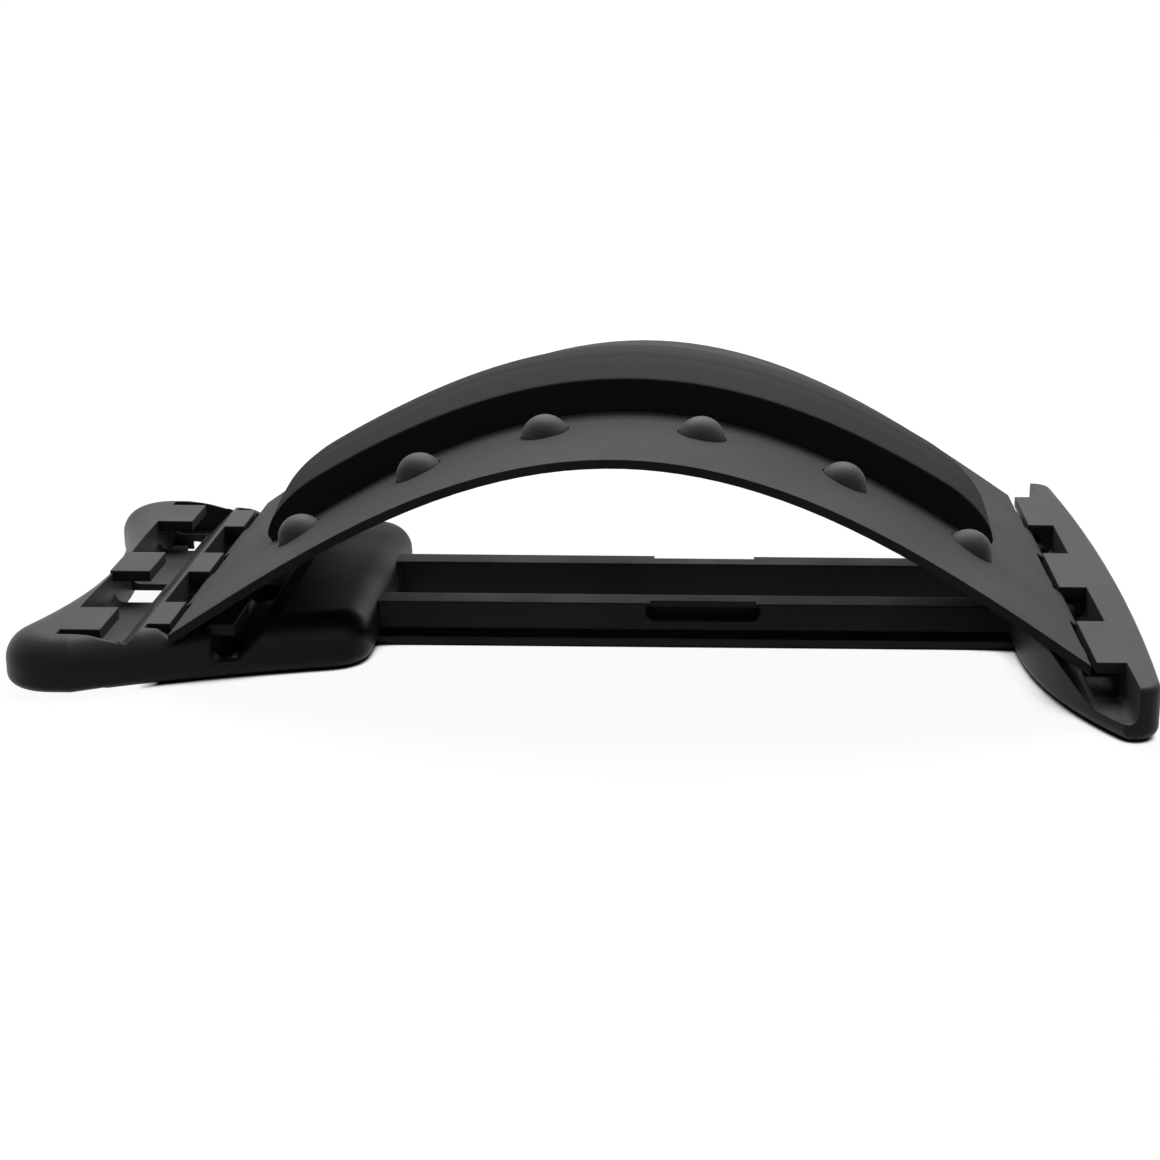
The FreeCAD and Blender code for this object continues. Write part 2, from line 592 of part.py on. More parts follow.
# foam strip: crowned and bevelled, following the arch, with rounded noses and tabs through the slots
foam_strip = new_body("foam_strip")
spine = sketch_on(foam_strip, "strip_spine", "XZ_Plane")
draw(spine, [arch_curve(0, 0, value(TAB_FRONT))])
section = sketch_on(foam_strip, "strip_section", "YZ_Plane")
BED = f"({ARCH_FOOT} + arch_rise + glue_gap)"
outline(section, [("-strip_half", BED), ("strip_half", BED), ("strip_half", f"{BED} + strip_side"),
                  ("strip_crown_half", f"{BED} + strip_crown"), ("-strip_crown_half", f"{BED} + strip_crown"),
                  ("-strip_half", f"{BED} + strip_side")])
pipe = foam_strip.newObject("PartDesign::AdditivePipe", "strip_pipe")
pipe.Profile = section
pipe.Spine = spine
doc.recompute()


def nose_point(angle):
    x = value(NOSE_END) - value("nose_length") * (1 - math.sin(angle))
    return above_arch(x, value("strip_crown + overrun / 4") * math.cos(angle) + value("glue_gap"))


nose = Part.BSplineCurve()
nose.interpolate([nose_point(step * math.pi / 2 / 12) for step in range(13)])
high = above_arch(value(f"{NOSE_END} - nose_length"), value("2 * strip_crown"))
low = FreeCAD.Vector(2 * high.x, nose_point(math.pi / 2).y)
nose_cut = sketch_on(foam_strip, "nose_cut", "XZ_Plane")
draw(nose_cut, [nose, Part.LineSegment(nose_point(math.pi / 2), low),
                Part.LineSegment(low, FreeCAD.Vector(low.x, high.y)),
                Part.LineSegment(FreeCAD.Vector(low.x, high.y), high), Part.LineSegment(high, nose_point(0))])
extrude(foam_strip, "Pocket", nose_cut, "2 * strip_half + 2 * overrun", symmetric=True)
tab = sketch_on(foam_strip, "strip_tab", "XZ_Plane")
front = value(TAB_FRONT)
back = front - value("tab_thickness")
barb = value(f"{TAB_FRONT} + tab_barb")
under = arch_height(barb) - value("plate_thickness") / math.cos(arch_slope(barb)) - value("seat_gap")
corners = [FreeCAD.Vector(*place) for place in (
    (front, above_arch(front, value("tab_setback")).y), (front, under), (barb, under),
    (front, under - value("tab_drop")), (back, under - value("tab_drop")),
    (back, above_arch(back, value("tab_setback")).y))]
draw(tab, [Part.LineSegment(*pair) for pair in zip(corners, corners[1:] + corners[:1])])
extrude(foam_strip, "Pad", tab, "2 * tab_half", symmetric=True)
whole = foam_strip.newObject("PartDesign::Mirrored", "strip_whole")
whole.MirrorPlane = (next(item for item in foam_strip.Origin.OriginFeatures if item.Role == "YZ_Plane"), [""])
whole.Originals = [pipe, foam_strip.getObject("nose_cut_pocket"), foam_strip.getObject("strip_tab_pad")]
foam_strip.Tip = whole

for piece in (arch_plate, foam_strip):
    bind(piece, "Placement.Base.x", ARCH_CENTRE)
for nub in nubs:
    nub.Placement = FreeCAD.Placement(FreeCAD.Vector(value(ARCH_CENTRE), 0, 0), FreeCAD.Rotation()).multiply(
        nub.Placement)

doc.recompute()
pieces = [base_frame, *foot_pads, arch_plate, foam_strip, *nubs]
failed = [item.Name for item in doc.Objects if {"Invalid", "Error"} & set(item.State)]
if failed:
    raise ValueError(f"these objects failed: {failed}")
for piece in pieces:
    if piece.Shape.isNull() or not piece.Shape.isValid():
        raise ValueError(f"{piece.Label} is not a valid solid")
for piece in pieces:
    piece.Shape.exportStep(f"parts/{piece.Label}.step")
    print(piece.Label, len(piece.Shape.Solids), round(piece.Shape.Volume))
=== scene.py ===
import math

import bmesh
import bpy
from mathutils import Matrix, Vector


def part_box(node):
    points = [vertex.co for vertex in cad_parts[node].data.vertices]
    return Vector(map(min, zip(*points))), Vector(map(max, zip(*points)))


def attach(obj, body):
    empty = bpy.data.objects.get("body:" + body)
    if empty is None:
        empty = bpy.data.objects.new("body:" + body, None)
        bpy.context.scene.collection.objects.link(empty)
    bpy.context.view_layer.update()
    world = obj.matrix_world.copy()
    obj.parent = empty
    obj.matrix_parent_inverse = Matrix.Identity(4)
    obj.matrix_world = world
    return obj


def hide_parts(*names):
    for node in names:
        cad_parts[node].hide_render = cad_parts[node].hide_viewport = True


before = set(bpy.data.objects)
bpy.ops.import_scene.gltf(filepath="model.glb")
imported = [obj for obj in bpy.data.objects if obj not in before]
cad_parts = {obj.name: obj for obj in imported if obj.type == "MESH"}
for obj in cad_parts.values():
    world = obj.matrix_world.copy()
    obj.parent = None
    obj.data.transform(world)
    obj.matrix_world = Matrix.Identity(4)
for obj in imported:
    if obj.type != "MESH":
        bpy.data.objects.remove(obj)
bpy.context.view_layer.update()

# ---------------------------------------------------------------------------------------------
# The base: two hooked wings and the pair of rails between them, one shell of black plastic,
# injection moulded and cored from beneath. Its skin is satin: fine spark-eroded grain, with a
# painted highlight along the edges.
MM = 0.001


def socket(group, name, side, kind, start=None):
    """An input or output of a node group, with the value that it starts at."""
    made = group.interface.new_socket(name=name, in_out=side, socket_type=kind)
    if start is not None:
        made.default_value = start


def joined(tree, kind, *links, **settings):
    """A node with its settings, fed by (source socket or value, name or number of its own input)."""
    node = tree.nodes.new(kind)
    for name, setting in settings.items():
        setattr(node, name, setting)
    for source, place in links:
        if isinstance(source, bpy.types.NodeSocket):
            tree.links.new(source, node.inputs[place])
        else:
            node.inputs[place].default_value = source
    return node


def worked(tree, operation, first, second):
    """What a Math node makes of two values."""
    return joined(tree, "ShaderNodeMath", (first, 0), (second, 1), operation=operation).outputs[0]


def ramp(tree, value, start, end, low=0.0, high=1.0, **settings):
    """A value mapped from start..end to low..high, and held at those beyond them."""
    return joined(tree, "ShaderNodeMapRange", (value, "Value"), (start, "From Min"), (end, "From Max"),
                  (low, "To Min"), (high, "To Max"), **settings).outputs[0]


def noise(tree, place, scale, detail, roughness=0.5):
    return joined(tree, "ShaderNodeTexNoise", (place, "Vector"), (scale, "Scale"), (detail, "Detail"),
                  (roughness, "Roughness")).outputs["Fac"]


def object_place(tree):
    return joined(tree, "ShaderNodeTexCoord").outputs["Object"]


def build_moulded_grain():
    """Fine pitted grain of a moulded or foamed skin: its height, and how it scatters the gloss."""
    group = bpy.data.node_groups.new("moulded_grain", "ShaderNodeTree")
    socket(group, "Pits per metre", "INPUT", "NodeSocketFloat", 900)
    socket(group, "Waves per metre", "INPUT", "NodeSocketFloat", 30)
    socket(group, "Wave share", "INPUT", "NodeSocketFloat", 0.3)
    socket(group, "Height", "OUTPUT", "NodeSocketFloat")
    socket(group, "Mottle", "OUTPUT", "NodeSocketFloat")
    entry, leave = joined(group, "NodeGroupInput"), joined(group, "NodeGroupOutput")
    place = object_place(group)
    pits = joined(group, "ShaderNodeTexVoronoi", (place, "Vector"), (entry.outputs[0], "Scale"),
                  feature="SMOOTH_F1")
    crumbs = noise(group, place, entry.outputs[0], detail=3, roughness=0.6)
    fine = worked(group, "ADD", pits.outputs["Distance"], crumbs)
    waves = noise(group, place, entry.outputs[1], detail=4, roughness=0.55)
    mixed = joined(group, "ShaderNodeMix", (entry.outputs[2], "Factor"), (fine, "A"), (waves, "B"))
    group.links.new(mixed.outputs["Result"], leave.inputs["Height"])
    group.links.new(waves, leave.inputs["Mottle"])
    return group


def build_edge_rounding_and_painted_highlight():
    """Edges as the mould rounds them: the softened normal, and the share of a painted highlight along them.
    """
    group = bpy.data.node_groups.new("edge_rounding_and_painted_highlight", "ShaderNodeTree")
    socket(group, "Radius", "INPUT", "NodeSocketFloat", 0.0008)
    socket(group, "Patchiness", "INPUT", "NodeSocketFloat", 0.5)
    socket(group, "Normal", "OUTPUT", "NodeSocketVector")
    socket(group, "Painted edge highlight", "OUTPUT", "NodeSocketFloat")
    entry, leave = joined(group, "NodeGroupInput"), joined(group, "NodeGroupOutput")
    rounded = joined(group, "ShaderNodeBevel", (entry.outputs[0], "Radius"), samples=6)
    flat = joined(group, "ShaderNodeNewGeometry").outputs["Normal"]
    turned = joined(group, "ShaderNodeVectorMath", (rounded.outputs[0], 0), (flat, 1),
                    operation="DOT_PRODUCT")
    edge = ramp(group, turned.outputs["Value"], start=0.995, end=0.8)
    patches = noise(group, object_place(group), scale=55, detail=5)
    kept = ramp(group, patches, start=0.35, end=0.65)
    share = joined(group, "ShaderNodeMix", (entry.outputs[1], "Factor"), (1, "A"), (kept, "B"))
    painted_edge_highlight = worked(group, "MULTIPLY", edge, share.outputs["Result"])
    group.links.new(rounded.outputs[0], leave.inputs["Normal"])
    group.links.new(painted_edge_highlight, leave.inputs["Painted edge highlight"])
    return group


def build_settled_dust():
    """A trace of pale dust and finger smears on what faces up."""
    group = bpy.data.node_groups.new("settled_dust", "ShaderNodeTree")
    socket(group, "Amount", "INPUT", "NodeSocketFloat", 0.2)
    socket(group, "Dust", "OUTPUT", "NodeSocketFloat")
    entry, leave = joined(group, "NodeGroupInput"), joined(group, "NodeGroupOutput")
    facing = joined(group, "ShaderNodeSeparateXYZ",
                    (joined(group, "ShaderNodeNewGeometry").outputs["Normal"], 0))
    up = ramp(group, facing.outputs["Z"], start=0.2, end=1.0)
    place = object_place(group)
    specks = noise(group, place, scale=420, detail=6, roughness=0.75)
    drifts = noise(group, place, scale=14, detail=3)
    thin = ramp(group, worked(group, "MULTIPLY", specks, drifts), start=0.18, end=0.42)
    lying = worked(group, "MULTIPLY", thin, up)
    group.links.new(worked(group, "MULTIPLY", lying, entry.outputs[0]), leave.inputs["Dust"])
    return group


moulded_grain = build_moulded_grain()
edge_rounding_and_painted_highlight = build_edge_rounding_and_painted_highlight()
settled_dust = build_settled_dust()


def finish_of(name, colour, painted_edge_highlight, dusty, roughness, specular, grain, bump, edge, dust):
    """A black moulded or foamed finish from the three shared effects.

    roughness: glossiest and dullest. grain: pits per metre, waves per metre, share of the waves.
    bump: strength, depth in metres. edge: radius in metres, patchiness of the painted edge highlight. dust:
    its amount.
    """
    material = bpy.data.materials.new(name)
    material.use_nodes = True
    tree = material.node_tree
    skin = tree.nodes["Principled BSDF"]
    skin.inputs["Specular IOR Level"].default_value = specular
    pits = joined(tree, "ShaderNodeGroup", node_tree=moulded_grain)
    for place, number in enumerate(grain):
        pits.inputs[place].default_value = number
    edges = joined(tree, "ShaderNodeGroup", node_tree=edge_rounding_and_painted_highlight)
    for place, number in enumerate(edge):
        edges.inputs[place].default_value = number
    film = joined(tree, "ShaderNodeGroup", node_tree=settled_dust)
    film.inputs[0].default_value = dust
    toned = joined(tree, "ShaderNodeMix", (pits.outputs["Mottle"], "Factor"), data_type="RGBA")
    for place, shade in (("A", 0.8), ("B", 1.2)):
        toned.inputs[place].default_value = (*[shade * part for part in colour], 1)
    # Painted highlight: the edges are mixed towards a lighter colour, as if they caught the light.
    edge_highlighted = joined(tree, "ShaderNodeMix", (edges.outputs["Painted edge highlight"], "Factor"),
                  (toned.outputs["Result"], "A"), data_type="RGBA")
    edge_highlighted.inputs["B"].default_value = (*painted_edge_highlight, 1)
    dulled = joined(tree, "ShaderNodeMix", (film.outputs["Dust"], "Factor"),
                    (edge_highlighted.outputs["Result"], "A"), data_type="RGBA")
    dulled.inputs["B"].default_value = (*dusty, 1)
    tree.links.new(dulled.outputs["Result"], skin.inputs["Base Color"])
    gloss = ramp(tree, pits.outputs["Mottle"], start=0.3, end=0.7, low=roughness[0], high=roughness[1])
    tree.links.new(gloss, skin.inputs["Roughness"])
    relief = joined(tree, "ShaderNodeBump", (pits.outputs["Height"], "Height"),
                    (edges.outputs["Normal"], "Normal"), (bump[0], "Strength"), (bump[1], "Distance"))
    tree.links.new(relief.outputs[0], skin.inputs["Normal"])
    return material


def dress(piece, material):
    piece.data.materials.clear()
    piece.data.materials.append(material)


base_satin = finish_of(
    "base_satin_black", colour=(0.044, 0.044, 0.0455), painted_edge_highlight=(0.07, 0.07, 0.072),
    dusty=(0.12, 0.12, 0.125), roughness=(0.38, 0.5), specular=0.13, grain=(1500, 35, 0.25),
    bump=(0.35, 0.00012), edge=(0.0009, 0.6), dust=0.12)
dress(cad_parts["base_frame"], base_satin)

# ---------------------------------------------------------------------------------------------
# Six feet under the wings: discs of dark grey rubber, pressed into round seats in the base.
# Each is moulded with two ring grooves in its face, so that it grips the floor.
FOOT = {"radius": 7.0, "height": 2.4, "rim_round": 0.45, "bands": (1.5, 1.3), "groove_depth": 0.35,
        "groove_flank": 0.3, "groove_floor": 0.5}


def pick(kind, test):
    """In edit mode, select only the faces, edges or corners that pass the test."""
    bpy.ops.mesh.select_mode(type=kind)
    bpy.ops.mesh.select_all(action="DESELECT")
    mesh = bmesh.from_edit_mesh(bpy.context.object.data)
    for part in {"FACE": mesh.faces, "EDGE": mesh.edges, "VERT": mesh.verts}[kind]:
        part.select_set(test(part))
    bmesh.update_edit_mesh(bpy.context.object.data)


def is_level(edge):
    return abs(edge.verts[0].co.z - edge.verts[1].co.z) < 1e-6


def shift(z):
    """Move what is selected up by z, in millimetres."""
    bpy.ops.transform.translate(value=(0, 0, z * MM))


def finish_shape(angle):
    """Back to object mode, faces outwards and shaded smooth up to an angle."""
    bpy.ops.mesh.select_all(action="SELECT")
    bpy.ops.mesh.remove_doubles(threshold=1e-6)
    bpy.ops.mesh.normals_make_consistent(inside=False)
    bpy.ops.object.mode_set(mode="OBJECT")
    bpy.ops.object.shade_smooth_by_angle(angle=math.radians(angle))
    bpy.ops.object.transform_apply(location=True, rotation=True, scale=True)


def set_over(pattern, name, node, tilt=0.0):
    """A copy of a pattern piece, turned about Y and set where its CAD node is."""
    copy = pattern.copy()
    copy.data = pattern.data.copy()
    copy.name = copy.data.name = name
    bpy.context.scene.collection.objects.link(copy)
    copy.data.transform(Matrix.Rotation(tilt, 4, "Y"))
    low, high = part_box(node)
    corners = [corner.co for corner in copy.data.vertices]
    middle = Vector([(min(c[axis] for c in corners) + max(c[axis] for c in corners)) / 2
                     for axis in range(3)])
    copy.data.transform(Matrix.Translation((low + high) / 2 - middle))
    return copy


bpy.ops.object.select_all(action="DESELECT")
bpy.ops.mesh.primitive_cylinder_add(vertices=72, radius=FOOT["radius"] * MM, depth=FOOT["height"] * MM,
                                    location=(0, 0, 0))
foot = bpy.context.object
bpy.ops.object.mode_set(mode="EDIT")
pick("FACE", lambda face: face.normal.z < -0.9)
for band in FOOT["bands"]:
    bpy.ops.mesh.inset(thickness=band * MM)
    bpy.ops.mesh.inset(thickness=FOOT["groove_flank"] * MM)
    shift(FOOT["groove_depth"])
    bpy.ops.mesh.inset(thickness=FOOT["groove_floor"] * MM)
    bpy.ops.mesh.inset(thickness=FOOT["groove_flank"] * MM)
    shift(-FOOT["groove_depth"])
pick("EDGE", lambda edge: is_level(edge) and all(
    corner.co.xy.length > (FOOT["radius"] - 0.1) * MM for corner in edge.verts))
bpy.ops.mesh.bevel(offset=FOOT["rim_round"] * MM, segments=4, profile=0.5)
finish_shape(angle=35)
foot_rubber = finish_of(
    "foot_rubber_grey", colour=(0.05, 0.05, 0.051), painted_edge_highlight=(0.08, 0.08, 0.08), dusty=(0.16, 0.155, 0.15),
    roughness=(0.7, 0.85), specular=0.12, grain=(2500, 60, 0.2), bump=(0.4, 0.00008),
    edge=(0.0003, 0.4), dust=0.1)
dress(foot, foot_rubber)
for number in range(1, 7):
    piece = set_over(foot, f"rubber_foot_{number}", f"foot_pad_{number}")
    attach(piece, "base")
    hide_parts(f"foot_pad_{number}")
bpy.data.objects.remove(foot)

# ---------------------------------------------------------------------------------------------
# The arch plate: one springy sheet of black plastic, moulded to its curve, with curled ends that
# sit in the base's grooves. Fine even grain, flatter and greyer than the base.
ARCH = {"centre": 16.05, "half": 155.0, "rise": 67.2, "foot": 17.6, "thickness": 3.0}


def arch_height(x):
    """Height of the plate's top, x from the arch's middle, in millimetres."""
    return ARCH["foot"] + ARCH["rise"] * math.cos(math.pi * x / (2 * ARCH["half"]))


def arch_fall(x):
    """How steeply the plate's top falls at x, as a slope."""
    return ARCH["rise"] * math.pi / (2 * ARCH["half"]) * math.sin(math.pi * x / (2 * ARCH["half"]))


plate_matt = finish_of(
    "plate_fine_grain", colour=(0.044, 0.044, 0.0452), painted_edge_highlight=(0.11, 0.11, 0.112),
    dusty=(0.15, 0.15, 0.155), roughness=(0.58, 0.7), specular=0.12, grain=(2200, 25, 0.15),
    bump=(0.4, 0.0001), edge=(0.0006, 0.5), dust=0.1)
dress(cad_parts["arch_plate"], plate_matt)

# ---------------------------------------------------------------------------------------------
# Twelve massage nubs in two rows: soft black rubber buttons pushed up through the plate. Each is
# one moulding, a dome on a stem, and a flange under the plate keeps it in its hole.
NUB = {"radius": 8.05, "height": 6.3, "stem_top": 0.15, "dome_steps": 14, "flange_radius": 10.5,
       "flange_top": -3.45, "flange_height": 1.6, "flange_round": 0.35,
       "places": (-0.744, -0.467, -0.183, 0.165, 0.481, 0.773)}


def draw_in(old, new, rise):
    """Extrude the picked round face upwards and bring its radius from old to new."""
    bpy.ops.mesh.extrude_region_move(TRANSFORM_OT_translate={"value": (0, 0, rise * MM)})
    bpy.ops.transform.resize(value=(new / old, new / old, 1))


bpy.ops.object.select_all(action="DESELECT")
bpy.ops.mesh.primitive_cylinder_add(
    vertices=80, radius=NUB["flange_radius"] * MM, depth=NUB["flange_height"] * MM,
    location=(0, 0, (NUB["flange_top"] - NUB["flange_height"] / 2) * MM))
nub = bpy.context.object
bpy.ops.object.transform_apply(location=True)
bpy.ops.object.mode_set(mode="EDIT")
pick("FACE", lambda face: face.normal.z > 0.9)
bpy.ops.mesh.inset(thickness=(NUB["flange_radius"] - NUB["radius"]) * MM)
bpy.ops.mesh.extrude_region_move(
    TRANSFORM_OT_translate={"value": (0, 0, (NUB["stem_top"] - NUB["flange_top"]) * MM)})
ball = (NUB["radius"] ** 2 + NUB["height"] ** 2) / (2 * NUB["height"])
radius, level = NUB["radius"], NUB["stem_top"]
start = math.asin(NUB["radius"] / ball)
for step in range(1, NUB["dome_steps"] + 1):
    angle = start * (1 - step / (NUB["dome_steps"] + 0.5))
    there, up = ball * math.sin(angle), NUB["height"] - ball * (1 - math.cos(angle))
    draw_in(radius, there, up - level)
    radius, level = there, up
bpy.ops.mesh.merge(type="CENTER")
pick("EDGE", lambda edge: is_level(edge) and all(
    abs(corner.co.xy.length - NUB["flange_radius"] * MM) < 1e-5 for corner in edge.verts))
bpy.ops.mesh.bevel(offset=NUB["flange_round"] * MM, segments=3, profile=0.5)
finish_shape(angle=40)
nub_rubber = finish_of(
    "nub_soft_black", colour=(0.12, 0.12, 0.121), painted_edge_highlight=(0.13, 0.13, 0.131), dusty=(0.15, 0.15, 0.15),
    roughness=(0.48, 0.6), specular=0.15, grain=(2600, 90, 0.25), bump=(0.3, 0.00006),
    edge=(0.0004, 0.3), dust=0.12)
dress(nub, nub_rubber)
for side in ("near", "far"):
    for number, share in enumerate(NUB["places"], 1):
        tilt = math.atan(arch_fall(share * ARCH["half"]))
        piece = set_over(nub, f"massage_nub_{side}_{number}", f"nub_{side}_{number}", tilt)
        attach(piece, "arch")
        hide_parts(f"nub_{side}_{number}")
bpy.data.objects.remove(nub)

# ---------------------------------------------------------------------------------------------
# The foam strip down the spine: closed-cell foam, shaved to a low crown with softened edges and
# glued along the plate. Its noses run down to slots in the plate, where a barbed tab holds each.
STRIP = {"half": 30.6, "bed": 0.1, "side": 11.8, "side_round": 0.8, "crown": 14.6, "crown_half": 10.2,
         "crown_round": 4.5, "crown_lifts": ((-4.0, 0.32), (0.0, 0.5), (4.0, 0.32)), "side_cut": 20.0,
         "end": 127.7, "cuts": 26, "nose_end": 128.5, "nose": 24.0, "nose_cuts": 14, "nose_gap": 0.3,
         "tab_half": 27.5, "tab": 3.5, "tab_drop": 3.5, "barb": 1.5, "barb_gap": 0.3}


def along(x, steps=400):
    """Length along the plate's top from the arch's middle to x."""
    return sum(math.hypot(1, arch_fall(x * (place + 0.5) / steps)) for place in range(steps)) * x / steps


def slice_at(place, normal):
    """Cut new edges all round the mesh, on the plane through a place."""
    bpy.ops.mesh.select_all(action="SELECT")
    bpy.ops.mesh.bisect(plane_co=[part * MM for part in place], plane_no=normal)


def runs_along(edge):
    return abs(edge.verts[0].co.x - edge.verts[1].co.x) > 1 * MM


strip_length = 2 * along(STRIP["end"])
bpy.ops.object.select_all(action="DESELECT")
bpy.ops.mesh.primitive_cube_add(
    size=1, location=(strip_length / 2 * MM, 0, (STRIP["bed"] + STRIP["side"]) / 2 * MM))
strip = bpy.context.object
strip.name = strip.data.name = "foam_spine_strip"
strip.scale = (strip_length * MM, 2 * STRIP["half"] * MM, (STRIP["side"] - STRIP["bed"]) * MM)
bpy.ops.object.transform_apply(location=True, scale=True)
bpy.ops.object.mode_set(mode="EDIT")
for y in (-STRIP["crown_half"], STRIP["crown_half"]):
    slice_at((0, y, 0), (0, 1, 0))
pick("VERT", lambda corner: corner.co.z > STRIP["side"] / 2 * MM
     and abs(corner.co.y) < (STRIP["crown_half"] + 1) * MM)
shift(STRIP["crown"] - STRIP["side"])
pick("EDGE", lambda edge: runs_along(edge) and all(
    corner.co.z > (STRIP["crown"] - 1) * MM and abs(corner.co.y) > (STRIP["crown_half"] - 1) * MM
    for corner in edge.verts))
bpy.ops.mesh.bevel(offset=STRIP["crown_round"] * MM, segments=6, profile=0.5)
pick("EDGE", lambda edge: runs_along(edge) and all(
    abs(corner.co.z - STRIP["side"] * MM) < 1 * MM and abs(corner.co.y) > (STRIP["half"] - 1) * MM
    for corner in edge.verts))
bpy.ops.mesh.bevel(offset=STRIP["side_round"] * MM, segments=4, profile=0.5)
for y, lift in STRIP["crown_lifts"]:
    slice_at((0, y, 0), (0, 1, 0))
for y, lift in STRIP["crown_lifts"]:
    pick("VERT", lambda corner: corner.co.z > (STRIP["crown"] - 1) * MM
         and abs(corner.co.y - y * MM) < 0.1 * MM)
    shift(lift)
for y in (-STRIP["tab_half"], STRIP["tab_half"], -STRIP["side_cut"], STRIP["side_cut"]):
    slice_at((0, y, 0), (0, 1, 0))

# Cuts across it let it bend, closer together in the noses, whose height falls off as a quarter
# of an ellipse.
plain = along(STRIP["nose_end"] - STRIP["nose"])
stations = [plain * cut / STRIP["cuts"] for cut in range(-STRIP["cuts"], STRIP["cuts"] + 1)]
nose_places = [STRIP["nose_end"] - STRIP["nose"] * (1 - math.sin(cut / STRIP["nose_cuts"] * math.pi / 2))
               for cut in range(1, STRIP["nose_cuts"])]
nose_places = sorted([x for x in nose_places if x < STRIP["end"] - STRIP["nose_gap"]]
                     + [STRIP["end"] - STRIP["tab"]])
for s in stations + [side * along(x) for x in nose_places for side in (-1, 1)]:
    slice_at((strip_length / 2 + s, 0, 0), (1, 0, 0))
for x in [*nose_places, STRIP["end"]]:
    sine = 1 - (STRIP["nose_end"] - x) / STRIP["nose"]
    height_left = math.sqrt(1 - sine * sine)
    for side in (-1, 1):
        s = (strip_length / 2 + side * along(x)) * MM
        pick("VERT", lambda corner: abs(corner.co.x - s) < 0.02 * MM)
        bpy.ops.transform.resize(value=(1, 1, height_left), center_override=(s, 0, STRIP["bed"] * MM))
bpy.ops.object.mode_set(mode="OBJECT")

line = bpy.data.curves.new("arch_line", "CURVE")
line.dimensions, line.twist_mode = "3D", "Z_UP"
run = line.splines.new("POLY")
half_run = 200
run.points.add(2 * half_run)
for place, point in enumerate(run.points):
    x = STRIP["end"] * (place / half_run - 1)
    point.co = ((ARCH["centre"] + x) * MM, 0, arch_height(x) * MM, 1)
guide = bpy.data.objects.new("arch_line", line)
bpy.context.scene.collection.objects.link(guide)
bend = strip.modifiers.new("lie along the arch", "CURVE")
bend.object, bend.deform_axis = guide, "POS_X"
bpy.ops.object.modifier_apply(modifier=bend.name)
bpy.data.objects.remove(guide)

# Each tab goes straight down through its slot, out into a barb under the plate, and back in below.
# Every step extrudes its end, flattens that at a level and moves its outer edge by the push.
bpy.ops.object.mode_set(mode="EDIT")
for side in (-1, 1):
    tab_middle = ARCH["centre"] + side * (STRIP["end"] - STRIP["tab"] / 2)
    barb = STRIP["end"] + STRIP["barb"]
    under = arch_height(barb) - ARCH["thickness"] * math.hypot(1, arch_fall(barb)) - STRIP["barb_gap"]
    pick("FACE", lambda face: face.normal.z < -0.5
         and abs(face.calc_center_median().y) < STRIP["tab_half"] * MM
         and abs(face.calc_center_median().x - tab_middle * MM) < 1.2 * MM)
    for level, push in ((under, 0.0), (under, STRIP["barb"]), (under - STRIP["tab_drop"], -STRIP["barb"])):
        bpy.ops.mesh.extrude_region_move(TRANSFORM_OT_translate={"value": (0, 0, -0.01 * MM)})
        bpy.ops.transform.resize(value=(1, 1, 0), center_override=(0, 0, level * MM))
        if push:
            kept = bmesh.from_edit_mesh(strip.data)
            outer = max(side * corner.co.x for corner in kept.verts if corner.select)
            for corner in kept.verts:
                if corner.select and side * corner.co.x > outer - 0.3 * MM:
                    corner.co.x += side * push * MM
            bmesh.update_edit_mesh(strip.data)
finish_shape(angle=28)
strip_foam = finish_of(
    "foam_closed_cell", colour=(0.058, 0.058, 0.059), painted_edge_highlight=(0.08, 0.08, 0.081), dusty=(0.13, 0.13, 0.13),
    roughness=(0.85, 0.95), specular=0.05, grain=(1100, 22, 0.35), bump=(0.6, 0.00016),
    edge=(0.0005, 0.5), dust=0.15)
dress(strip, strip_foam)
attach(strip, "arch")
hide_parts("foam_strip")

# ---------------------------------------------------------------------------------------------
# The studio: a white floor in white surroundings under one big softbox, with the camera low in
# front. Both look white to the camera and in reflections, and shed far less light than that. The
# floor's glow carries a painted shadow around and under the object.
# The occlusion reach and its two thresholds set a painted shadow in the floor's glow; the two x places set
# where painted light keeps it bright.
FLOOR = {"size": 60, "tone_lit": 0.05, "tone_seen": 0.12, "near": 0.3, "near_glow": 0.95,
         "far": 2.0, "far_glow": 1.0, "painted_shadow_reach": 0.03, "painted_shadow_darkest": 0.3, "painted_shadow_clear": 0.48,
         "painted_light_from": -0.143, "painted_light_to": -0.149}
SURROUNDINGS = {"lit": 0.045, "seen": 1.0}
CAMERA = {"place": (0.0459, -0.7811, 0.2554), "aside": 0.17, "down": 17.19, "roll": 0.47,
          "sensor": 36.0, "lens": 67.95, "shift": -0.1098}


def seen_share(tree):
    """1 for rays that show the surroundings, 0 for rays that carry their light."""
    ray = joined(tree, "ShaderNodeLightPath")
    first = worked(tree, "MAXIMUM", ray.outputs["Is Camera Ray"], ray.outputs["Is Glossy Ray"])
    return worked(tree, "MAXIMUM", first, ray.outputs["Is Transmission Ray"])


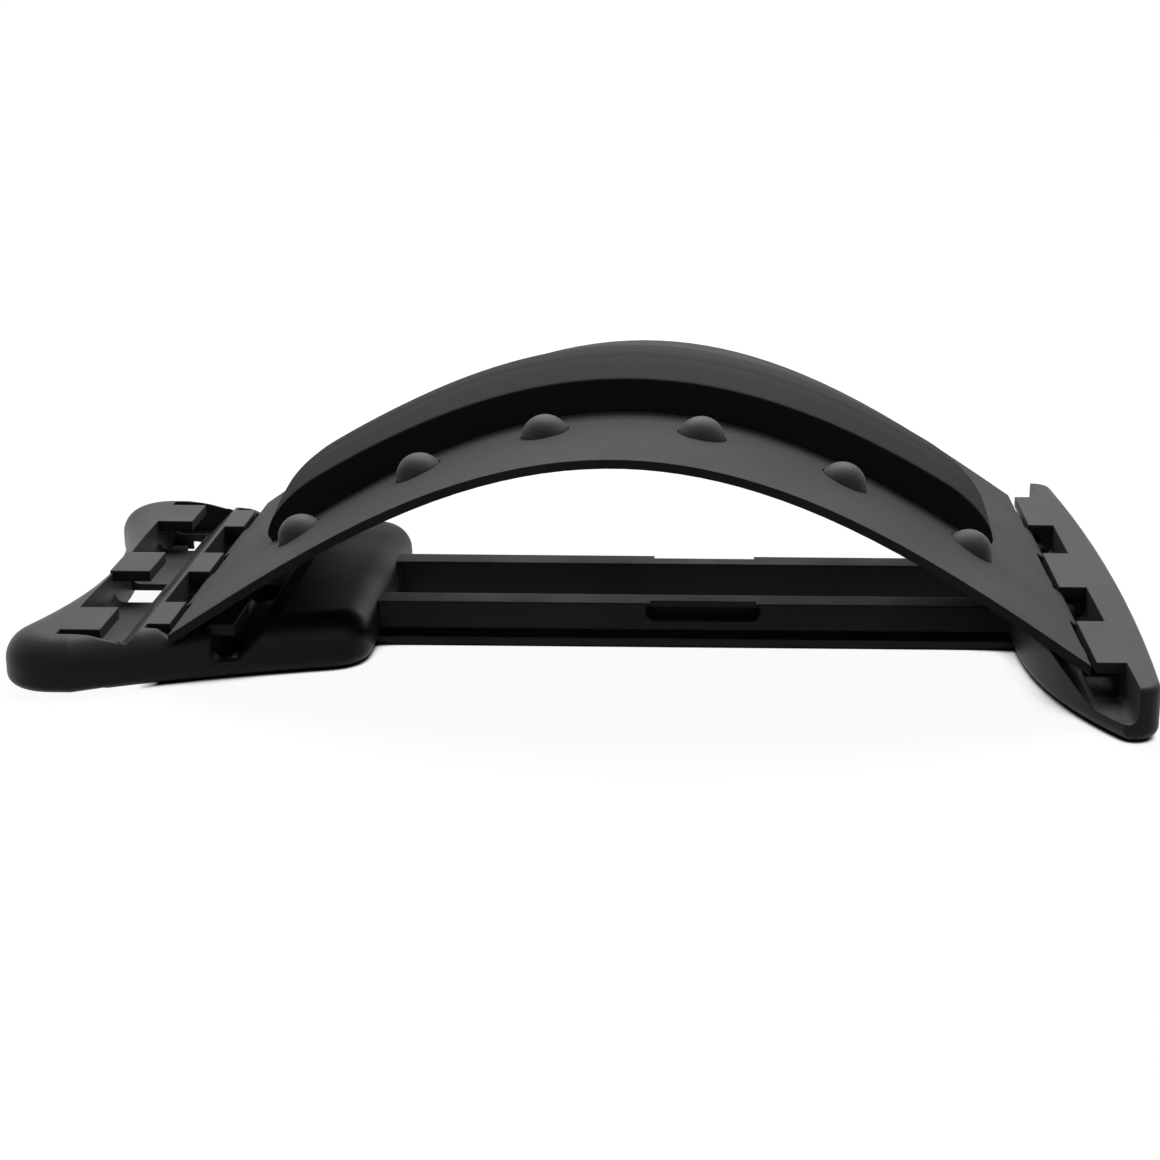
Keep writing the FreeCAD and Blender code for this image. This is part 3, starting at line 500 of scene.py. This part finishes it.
bpy.ops.object.select_all(action="DESELECT")
bpy.ops.mesh.primitive_plane_add(size=FLOOR["size"], location=(0, 0, 0))
floor = bpy.context.object
floor.name = "studio_floor"
paper = bpy.data.materials.new("floor_paper")
paper.use_nodes = True
tree = paper.node_tree
tree.nodes.remove(tree.nodes["Principled BSDF"])
seen = seen_share(tree)
tone = joined(tree, "ShaderNodeMix", (seen, "Factor"), data_type="RGBA")
for place, grey in (("A", FLOOR["tone_lit"]), ("B", FLOOR["tone_seen"])):
    tone.inputs[place].default_value = (grey, grey, grey, 1)
sheet = joined(tree, "ShaderNodeBsdfDiffuse", (tone.outputs["Result"], "Color"))
distance = joined(tree, "ShaderNodeVectorMath", (object_place(tree), 0), operation="LENGTH")
level = ramp(tree, distance.outputs["Value"], FLOOR["near"], FLOOR["far"], FLOOR["near_glow"],
             FLOOR["far_glow"], interpolation_type="SMOOTHSTEP")
# Painted shadow: its glow darkens where the object shuts it in, by ambient occlusion. Painted light
# keeps it bright from the narrow wing's last groove outwards, so that the outermost windows show white.
painted_shadow_occlusion = joined(tree, "ShaderNodeAmbientOcclusion", (FLOOR["painted_shadow_reach"], "Distance"), samples=16)
painted_shadow_mask = ramp(tree, painted_shadow_occlusion.outputs["AO"], FLOOR["painted_shadow_darkest"], FLOOR["painted_shadow_clear"])
across = joined(tree, "ShaderNodeSeparateXYZ", (object_place(tree), 0))
outer = ramp(tree, across.outputs["X"], FLOOR["painted_light_from"], FLOOR["painted_light_to"])
lit = worked(tree, "MULTIPLY", level, worked(tree, "MAXIMUM", painted_shadow_mask, outer))
glow = joined(tree, "ShaderNodeEmission", (worked(tree, "MULTIPLY", seen, lit), "Strength"))
both = joined(tree, "ShaderNodeAddShader", (sheet.outputs[0], 0), (glow.outputs[0], 1))
tree.links.new(both.outputs[0], tree.nodes["Material Output"].inputs["Surface"])
floor.data.materials.append(paper)

world = bpy.data.worlds.new("studio")
bpy.context.scene.world = world
world.use_nodes = True
tree = world.node_tree
shine = ramp(tree, seen_share(tree), 0.0, 1.0, SURROUNDINGS["lit"], SURROUNDINGS["seen"])
tree.links.new(shine, tree.nodes["Background"].inputs["Strength"])
tree.nodes["Background"].inputs["Color"].default_value = (1, 1, 1, 1)


def softbox(name, place, aim, width, height, watts):
    light = bpy.data.lights.new(name, "AREA")
    light.shape, light.size, light.size_y, light.energy = "RECTANGLE", width, height, watts
    lamp = bpy.data.objects.new(name, light)
    bpy.context.scene.collection.objects.link(lamp)
    lamp.location = place
    lamp.rotation_euler = (Vector(aim) - Vector(place)).to_track_quat("-Z", "Y").to_euler()


softbox("overhead_softbox", place=(0.05, 0.7, 1.15), aim=(0.0, 0.02, 0.05), width=1.4, height=0.8, watts=20)

eye = bpy.data.objects.new("camera", bpy.data.cameras.new("camera"))
bpy.context.scene.collection.objects.link(eye)
bpy.context.scene.camera = eye
eye.location = CAMERA["place"]
eye.rotation_mode = "XYZ"
aim = (Matrix.Rotation(math.radians(CAMERA["aside"]), 4, "Z")
       @ Matrix.Rotation(math.radians(90 - CAMERA["down"]), 4, "X")
       @ Matrix.Rotation(math.radians(CAMERA["roll"]), 4, "Z"))
eye.rotation_euler = aim.to_euler()
eye.data.sensor_width, eye.data.lens, eye.data.shift_x = CAMERA["sensor"], CAMERA["lens"], CAMERA["shift"]
eye.data.clip_start, eye.data.clip_end = 0.05, 100
bpy.context.scene.view_settings.view_transform = "Standard"
